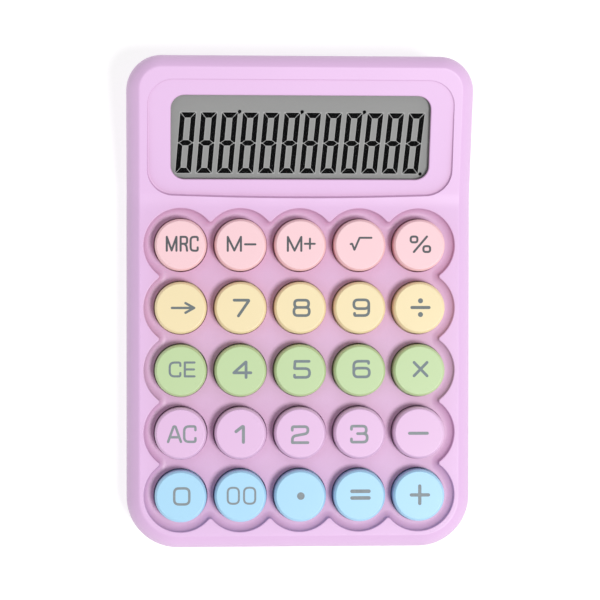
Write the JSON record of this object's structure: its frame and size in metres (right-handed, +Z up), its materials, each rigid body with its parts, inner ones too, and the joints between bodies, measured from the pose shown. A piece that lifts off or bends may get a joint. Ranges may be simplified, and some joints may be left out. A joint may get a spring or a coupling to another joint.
{
  "type": "desk calculator",
  "caption": "Desk calculator with a raised sloping display, round keys that travel down into a scalloped well, and a sliding battery door at the back of its underside.",
  "frame": {"origin": "middle of the footprint, on the surface that the feet stand on", "axes": "+X to the user's right, +Y from the user towards the display, +Z up"},
  "size_m": [0.1084, 0.154, 0.0285],
  "materials": {
    "case": "fine matt, lilac",
    "pink_keys": "satin, pale pink",
    "yellow_keys": "satin, pale yellow",
    "green_keys": "satin, pale green",
    "lilac_keys": "satin, pale lilac",
    "blue_keys": "satin, pale blue",
    "lens": "clear acrylic",
    "liquid_crystal": "grey liquid-crystal cell",
    "foil": "satin foil",
    "holder": "white moulded",
    "flex": "amber film with printed tracks",
    "board": "solder mask",
    "resin": "black resin",
    "silicone": "translucent silicone",
    "cell": "printed wrap",
    "contacts": "nickel plated",
    "red_wire": "soft sheath",
    "black_wire": "soft sheath",
    "screws": "zinc plated",
    "feet": "soft rubber"
  },
  "bodies": {
    "case": {"top_case": "case", "bottom_case": "case", "foot_front_left": "feet", "foot_front_right": "feet", "foot_back_left": "feet", "foot_back_right": "feet", "display_lens": "lens", "lcd_glass": "liquid_crystal", "lcd_reflector": "foil", "lcd_holder": "holder", "lcd_flex": "flex", "circuit_board": "board", "chip_resin": "resin", "capacitor": "resin", "dome_mat": "silicone", "battery": "cell", "battery_contact": "contacts", "battery_spring": "contacts", "wire_red": "red_wire", "wire_black": "black_wire", "case_screw_1": "screws", "case_screw_2": "screws", "case_screw_3": "screws", "case_screw_4": "screws", "case_screw_5": "screws", "case_screw_6": "screws", "board_screw_1": "screws", "board_screw_2": "screws", "board_screw_3": "screws", "board_screw_4": "screws", "holder_screw_1": "screws", "holder_screw_2": "screws"},
    "cap_memory_recall": {"key_memory_recall": "pink_keys"},
    "cap_memory_minus": {"key_memory_minus": "pink_keys"},
    "cap_memory_plus": {"key_memory_plus": "pink_keys"},
    "cap_root": {"key_root": "pink_keys"},
    "cap_percent": {"key_percent": "pink_keys"},
    "cap_backspace": {"key_backspace": "yellow_keys"},
    "cap_7": {"key_7": "yellow_keys"},
    "cap_8": {"key_8": "yellow_keys"},
    "cap_9": {"key_9": "yellow_keys"},
    "cap_divide": {"key_divide": "yellow_keys"},
    "cap_clear_entry": {"key_clear_entry": "green_keys"},
    "cap_4": {"key_4": "green_keys"},
    "cap_5": {"key_5": "green_keys"},
    "cap_6": {"key_6": "green_keys"},
    "cap_multiply": {"key_multiply": "green_keys"},
    "cap_all_clear": {"key_all_clear": "lilac_keys"},
    "cap_1": {"key_1": "lilac_keys"},
    "cap_2": {"key_2": "lilac_keys"},
    "cap_3": {"key_3": "lilac_keys"},
    "cap_subtract": {"key_subtract": "lilac_keys"},
    "cap_0": {"key_0": "blue_keys"},
    "cap_00": {"key_00": "blue_keys"},
    "cap_point": {"key_point": "blue_keys"},
    "cap_equals": {"key_equals": "blue_keys"},
    "cap_add": {"key_add": "blue_keys"},
    "door": {"battery_door": "case"}
  },
  "joints": [
    {"name": "press_memory_recall", "type": "slide", "parent": "case", "child": "cap_memory_recall", "axis": [0, 0, -1], "range_m": [0, 0.002], "stiffness_N_per_m": 300, "springref_m": -0.001, "deforming": ["dome_mat"]},
    {"name": "press_memory_minus", "type": "slide", "parent": "case", "child": "cap_memory_minus", "axis": [0, 0, -1], "range_m": [0, 0.002], "stiffness_N_per_m": 300, "springref_m": -0.001, "deforming": ["dome_mat"]},
    {"name": "press_memory_plus", "type": "slide", "parent": "case", "child": "cap_memory_plus", "axis": [0, 0, -1], "range_m": [0, 0.002], "stiffness_N_per_m": 300, "springref_m": -0.001, "deforming": ["dome_mat"]},
    {"name": "press_root", "type": "slide", "parent": "case", "child": "cap_root", "axis": [0, 0, -1], "range_m": [0, 0.002], "stiffness_N_per_m": 300, "springref_m": -0.001, "deforming": ["dome_mat"]},
    {"name": "press_percent", "type": "slide", "parent": "case", "child": "cap_percent", "axis": [0, 0, -1], "range_m": [0, 0.002], "stiffness_N_per_m": 300, "springref_m": -0.001, "deforming": ["dome_mat"]},
    {"name": "press_backspace", "type": "slide", "parent": "case", "child": "cap_backspace", "axis": [0, 0, -1], "range_m": [0, 0.002], "stiffness_N_per_m": 300, "springref_m": -0.001, "deforming": ["dome_mat"]},
    {"name": "press_7", "type": "slide", "parent": "case", "child": "cap_7", "axis": [0, 0, -1], "range_m": [0, 0.002], "stiffness_N_per_m": 300, "springref_m": -0.001, "deforming": ["dome_mat"]},
    {"name": "press_8", "type": "slide", "parent": "case", "child": "cap_8", "axis": [0, 0, -1], "range_m": [0, 0.002], "stiffness_N_per_m": 300, "springref_m": -0.001, "deforming": ["dome_mat"]},
    {"name": "press_9", "type": "slide", "parent": "case", "child": "cap_9", "axis": [0, 0, -1], "range_m": [0, 0.002], "stiffness_N_per_m": 300, "springref_m": -0.001, "deforming": ["dome_mat"]},
    {"name": "press_divide", "type": "slide", "parent": "case", "child": "cap_divide", "axis": [0, 0, -1], "range_m": [0, 0.002], "stiffness_N_per_m": 300, "springref_m": -0.001, "deforming": ["dome_mat"]},
    {"name": "press_clear_entry", "type": "slide", "parent": "case", "child": "cap_clear_entry", "axis": [0, 0, -1], "range_m": [0, 0.002], "stiffness_N_per_m": 300, "springref_m": -0.001, "deforming": ["dome_mat"]},
    {"name": "press_4", "type": "slide", "parent": "case", "child": "cap_4", "axis": [0, 0, -1], "range_m": [0, 0.002], "stiffness_N_per_m": 300, "springref_m": -0.001, "deforming": ["dome_mat"]},
    {"name": "press_5", "type": "slide", "parent": "case", "child": "cap_5", "axis": [0, 0, -1], "range_m": [0, 0.002], "stiffness_N_per_m": 300, "springref_m": -0.001, "deforming": ["dome_mat"]},
    {"name": "press_6", "type": "slide", "parent": "case", "child": "cap_6", "axis": [0, 0, -1], "range_m": [0, 0.002], "stiffness_N_per_m": 300, "springref_m": -0.001, "deforming": ["dome_mat"]},
    {"name": "press_multiply", "type": "slide", "parent": "case", "child": "cap_multiply", "axis": [0, 0, -1], "range_m": [0, 0.002], "stiffness_N_per_m": 300, "springref_m": -0.001, "deforming": ["dome_mat"]},
    {"name": "press_all_clear", "type": "slide", "parent": "case", "child": "cap_all_clear", "axis": [0, 0, -1], "range_m": [0, 0.002], "stiffness_N_per_m": 300, "springref_m": -0.001, "deforming": ["dome_mat"]},
    {"name": "press_1", "type": "slide", "parent": "case", "child": "cap_1", "axis": [0, 0, -1], "range_m": [0, 0.002], "stiffness_N_per_m": 300, "springref_m": -0.001, "deforming": ["dome_mat"]},
    {"name": "press_2", "type": "slide", "parent": "case", "child": "cap_2", "axis": [0, 0, -1], "range_m": [0, 0.002], "stiffness_N_per_m": 300, "springref_m": -0.001, "deforming": ["dome_mat"]},
    {"name": "press_3", "type": "slide", "parent": "case", "child": "cap_3", "axis": [0, 0, -1], "range_m": [0, 0.002], "stiffness_N_per_m": 300, "springref_m": -0.001, "deforming": ["dome_mat"]},
    {"name": "press_subtract", "type": "slide", "parent": "case", "child": "cap_subtract", "axis": [0, 0, -1], "range_m": [0, 0.002], "stiffness_N_per_m": 300, "springref_m": -0.001, "deforming": ["dome_mat"]},
    {"name": "press_0", "type": "slide", "parent": "case", "child": "cap_0", "axis": [0, 0, -1], "range_m": [0, 0.002], "stiffness_N_per_m": 300, "springref_m": -0.001, "deforming": ["dome_mat"]},
    {"name": "press_00", "type": "slide", "parent": "case", "child": "cap_00", "axis": [0, 0, -1], "range_m": [0, 0.002], "stiffness_N_per_m": 300, "springref_m": -0.001, "deforming": ["dome_mat"]},
    {"name": "press_point", "type": "slide", "parent": "case", "child": "cap_point", "axis": [0, 0, -1], "range_m": [0, 0.002], "stiffness_N_per_m": 300, "springref_m": -0.001, "deforming": ["dome_mat"]},
    {"name": "press_equals", "type": "slide", "parent": "case", "child": "cap_equals", "axis": [0, 0, -1], "range_m": [0, 0.002], "stiffness_N_per_m": 300, "springref_m": -0.001, "deforming": ["dome_mat"]},
    {"name": "press_add", "type": "slide", "parent": "case", "child": "cap_add", "axis": [0, 0, -1], "range_m": [0, 0.002], "stiffness_N_per_m": 300, "springref_m": -0.001, "deforming": ["dome_mat"]},
    {"name": "door_slide", "type": "slide", "parent": "case", "child": "door", "axis": [0, 1, 0], "range_m": [0, 0.03]}
  ]
}
